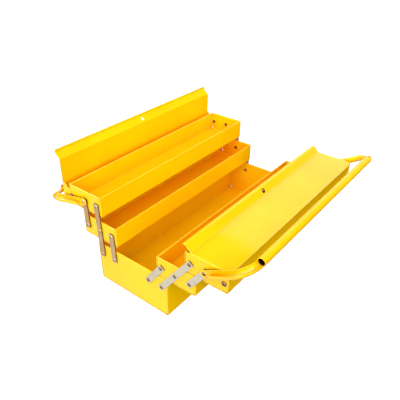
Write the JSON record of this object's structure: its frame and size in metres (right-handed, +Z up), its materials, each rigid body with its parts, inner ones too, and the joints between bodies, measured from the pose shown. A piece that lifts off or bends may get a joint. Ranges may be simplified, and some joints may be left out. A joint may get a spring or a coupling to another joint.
{
  "type": "cantilever tool box",
  "caption": "Folded sheet-steel tool box whose stacked trays swing out on flat links, with hinged lids over the top trays and bail handles.",
  "frame": {"origin": "middle of the underside of the base, on the surface it stands on", "axes": "+X across the box towards the right-hand trays, +Y along the box towards the rear end, +Z up"},
  "size_m": [0.5463, 0.5636, 0.2917],
  "materials": {
    "paint": "gloss yellow stoving enamel",
    "plated_steel": "bright zinc plating"
  },
  "bodies": {
    "base": {"base_pan": "paint", "base_end_front": "paint", "base_end_rear": "paint", "base_rivets": "plated_steel", "base_washers": "plated_steel"},
    "left_long_links": {"left_long_link_front": "plated_steel", "left_long_link_rear": "plated_steel"},
    "left_low_links": {"left_low_link_front": "plated_steel", "left_low_link_rear": "plated_steel"},
    "left_lower_tray": {"left_lower_pan": "paint", "left_lower_end_front": "paint", "left_lower_end_rear": "paint", "left_lower_rivets": "plated_steel", "left_lower_washers": "plated_steel"},
    "left_high_links": {"left_high_link_front": "plated_steel", "left_high_link_rear": "plated_steel"},
    "left_upper_tray": {"left_upper_pan": "paint", "left_upper_end_front": "paint", "left_upper_end_rear": "paint", "left_upper_rivets": "plated_steel", "left_upper_washers": "plated_steel", "left_handle_rivets": "plated_steel", "left_lid_rivets": "plated_steel"},
    "left_lid": {"left_lid": "paint"},
    "left_handle": {"left_handle": "paint"},
    "right_long_links": {"right_long_link_front": "plated_steel", "right_long_link_rear": "plated_steel"},
    "right_low_links": {"right_low_link_front": "plated_steel", "right_low_link_rear": "plated_steel"},
    "right_lower_tray": {"right_lower_pan": "paint", "right_lower_end_front": "paint", "right_lower_end_rear": "paint", "right_lower_rivets": "plated_steel", "right_lower_washers": "plated_steel"},
    "right_high_links": {"right_high_link_front": "plated_steel", "right_high_link_rear": "plated_steel"},
    "right_upper_tray": {"right_upper_pan": "paint", "right_upper_end_front": "paint", "right_upper_end_rear": "paint", "right_upper_rivets": "plated_steel", "right_upper_washers": "plated_steel", "right_handle_rivets": "plated_steel", "right_lid_rivets": "plated_steel"},
    "right_lid": {"right_lid": "paint"},
    "right_handle": {"right_handle": "paint"}
  },
  "joints": [
    {"name": "left_fold", "type": "hinge", "parent": "base", "child": "left_long_links", "pos_m": [-0.0868, 0, 0.0755], "axis": [0, 1, 0], "range_deg": [-34.5, 36.2]},
    {"name": "left_lower_tray_level", "type": "hinge", "parent": "left_long_links", "child": "left_lower_tray", "pos_m": [-0.08896, 0, 0.13644], "axis": [0, 1, 0], "range_deg": [-36.2, 34.5]},
    {"name": "left_upper_tray_level", "type": "hinge", "parent": "left_long_links", "child": "left_upper_tray", "pos_m": [-0.09112, 0, 0.19739], "axis": [0, 1, 0], "range_deg": [-36.2, 34.5]},
    {"name": "left_low_links_turn", "type": "hinge", "parent": "base", "child": "left_low_links", "pos_m": [-0.0505, 0, 0.0755], "axis": [0, 1, 0], "range_deg": [-34.5, 36.2]},
    {"name": "left_high_links_turn", "type": "hinge", "parent": "left_lower_tray", "child": "left_high_links", "pos_m": [-0.12526, 0, 0.13644], "axis": [0, 1, 0], "range_deg": [-34.5, 36.2]},
    {"name": "left_lid_hinge", "type": "hinge", "parent": "left_upper_tray", "child": "left_lid", "pos_m": [-0.16922, 0, 0.19489], "axis": [0, 1, 0], "range_deg": [0, 88.6]},
    {"name": "left_handle_pivot", "type": "hinge", "parent": "left_upper_tray", "child": "left_handle", "pos_m": [-0.12742, 0, 0.19739], "axis": [0, 1, 0], "range_deg": [-45, 45]},
    {"name": "right_fold", "type": "hinge", "parent": "base", "child": "right_long_links", "pos_m": [0.0868, 0, 0.0755], "axis": [0, -1, 0], "range_deg": [0, 70.7]},
    {"name": "right_lower_tray_level", "type": "hinge", "parent": "right_long_links", "child": "right_lower_tray", "pos_m": [0.1231, 0, 0.1245], "axis": [0, -1, 0], "range_deg": [-70.7, 0]},
    {"name": "right_upper_tray_level", "type": "hinge", "parent": "right_long_links", "child": "right_upper_tray", "pos_m": [0.1594, 0, 0.1735], "axis": [0, -1, 0], "range_deg": [-70.7, 0]},
    {"name": "right_low_links_turn", "type": "hinge", "parent": "base", "child": "right_low_links", "pos_m": [0.0505, 0, 0.0755], "axis": [0, -1, 0], "range_deg": [0, 70.7]},
    {"name": "right_high_links_turn", "type": "hinge", "parent": "right_lower_tray", "child": "right_high_links", "pos_m": [0.1594, 0, 0.1245], "axis": [0, -1, 0], "range_deg": [0, 70.7]},
    {"name": "right_lid_hinge", "type": "hinge", "parent": "right_upper_tray", "child": "right_lid", "pos_m": [0.2375, 0, 0.171], "axis": [0, -1, 0], "range_deg": [-88.6, 0]},
    {"name": "right_handle_pivot", "type": "hinge", "parent": "right_upper_tray", "child": "right_handle", "pos_m": [0.1957, 0, 0.1735], "axis": [0, -1, 0], "range_deg": [-87, 82.5]}
  ],
  "couplings": [
    {"joint": "left_lower_tray_level", "follows": "left_fold", "ratio": -1},
    {"joint": "left_upper_tray_level", "follows": "left_fold", "ratio": -1},
    {"joint": "left_low_links_turn", "follows": "left_fold", "ratio": 1},
    {"joint": "left_high_links_turn", "follows": "left_fold", "ratio": 1},
    {"joint": "right_lower_tray_level", "follows": "right_fold", "ratio": -1},
    {"joint": "right_upper_tray_level", "follows": "right_fold", "ratio": -1},
    {"joint": "right_low_links_turn", "follows": "right_fold", "ratio": 1},
    {"joint": "right_high_links_turn", "follows": "right_fold", "ratio": 1}
  ]
}
